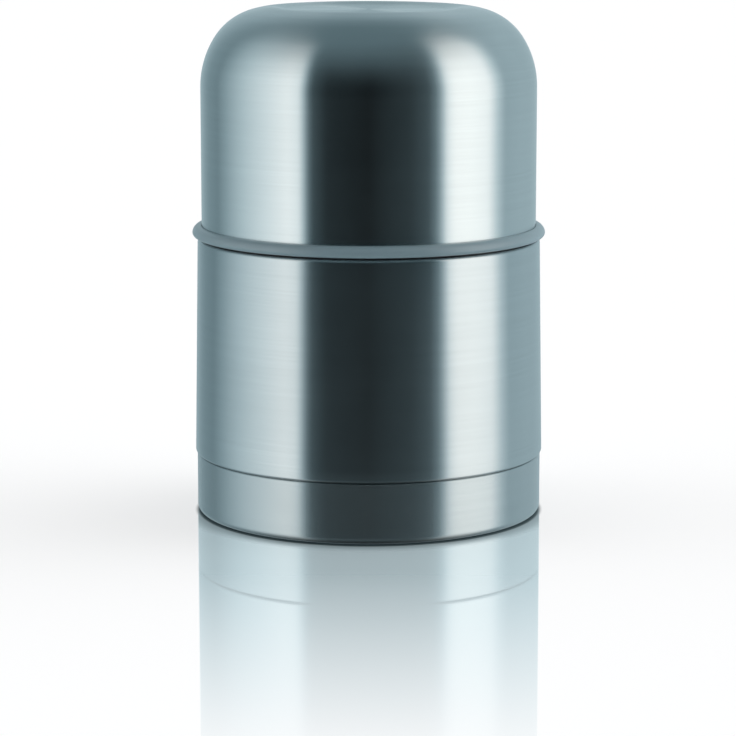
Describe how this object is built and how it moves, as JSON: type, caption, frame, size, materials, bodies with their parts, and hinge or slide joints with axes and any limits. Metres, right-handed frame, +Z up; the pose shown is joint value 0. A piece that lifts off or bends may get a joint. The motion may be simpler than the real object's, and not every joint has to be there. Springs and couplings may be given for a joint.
{
  "type": "insulated food jar",
  "caption": "Vacuum-insulated steel food jar with a screw-on domed cup lid over a threaded stopper with a sprung vent button.",
  "frame": {"origin": "centre of the circle that the jar stands on", "axes": "+Z up along the jar's own axis, +X to the right as the picture shows the jar, jar closed"},
  "size_m": [0.101, 0.101, 0.145],
  "materials": {
    "skin_steel": "brushed round the wall, cool grey",
    "base_steel": "brushed round the wall, cool grey",
    "dome_steel": "brushed round the dome, cool grey",
    "vessel_steel": "satin, drawn and polished",
    "strip_steel": "mill finish",
    "copper_foil": "bright thin foil",
    "getter_metal": "sintered, dull",
    "solder_glass": "dark glassy drop",
    "bond": "cured adhesive",
    "bowl_plastic": "moulded, fine satin",
    "collar_plastic": "moulded, satin grey",
    "dark_rubber": "soft black rubber",
    "stopper_plastic": "moulded, fine satin",
    "foam": "closed-cell foam",
    "clear_silicone": "translucent grey silicone",
    "button_plastic": "moulded, satin grey",
    "spring_steel": "drawn wire and strip",
    "stem_plastic": "moulded"
  },
  "bodies": {
    "jar": {"outer_shell": "skin_steel", "inner_liner": "vessel_steel", "liner_bottom": "vessel_steel", "foil_wrap": "copper_foil", "getter_pill": "getter_metal", "getter_strap": "strip_steel", "vacuum_base": "strip_steel", "sealing_drop": "solder_glass", "bond_ring": "bond", "base_cup": "base_steel"},
    "lid_seal": {"cup_seal": "dark_rubber"},
    "cup_lid": {"cup_shell": "dome_steel", "cup_bowl": "bowl_plastic", "bowl_seal": "dark_rubber", "thread_collar": "collar_plastic"},
    "stopper_seal": {"stopper_gasket": "clear_silicone"},
    "stopper": {"stopper_plug": "stopper_plastic", "stopper_base": "stopper_plastic", "stopper_foam": "foam", "stopper_cover": "stopper_plastic", "vent_spring": "spring_steel"},
    "vent": {"vent_button": "button_plastic", "valve_stem": "stem_plastic", "valve_seal": "clear_silicone", "stem_clip": "spring_steel"}
  },
  "joints": [
    {"name": "lid_rise", "type": "slide", "parent": "jar", "child": "lid_seal", "axis": [0, 0, 1], "range_m": [0, 0.06]},
    {"name": "lid_turn", "type": "hinge", "parent": "lid_seal", "child": "cup_lid", "pos_m": [0, 0, 0.0797], "axis": [0, 0, 1], "range_deg": [0, 1440]},
    {"name": "stopper_rise", "type": "slide", "parent": "jar", "child": "stopper_seal", "axis": [0, 0, 1], "range_m": [0, 0.03]},
    {"name": "stopper_turn", "type": "hinge", "parent": "stopper_seal", "child": "stopper", "pos_m": [0, 0, 0.095], "axis": [0, 0, 1], "range_deg": [0, 1080]},
    {"name": "vent_press", "type": "slide", "parent": "stopper", "child": "vent", "axis": [0, 0, -1], "range_m": [0, 0.0025], "stiffness_N_per_m": 400, "springref_m": -0.003, "deforming": ["vent_spring"]}
  ],
  "couplings": [
    {"joint": "lid_rise", "follows": "lid_turn", "m_per_rad": 0.0023873},
    {"joint": "stopper_rise", "follows": "stopper_turn", "m_per_rad": 0.0015915}
  ]
}
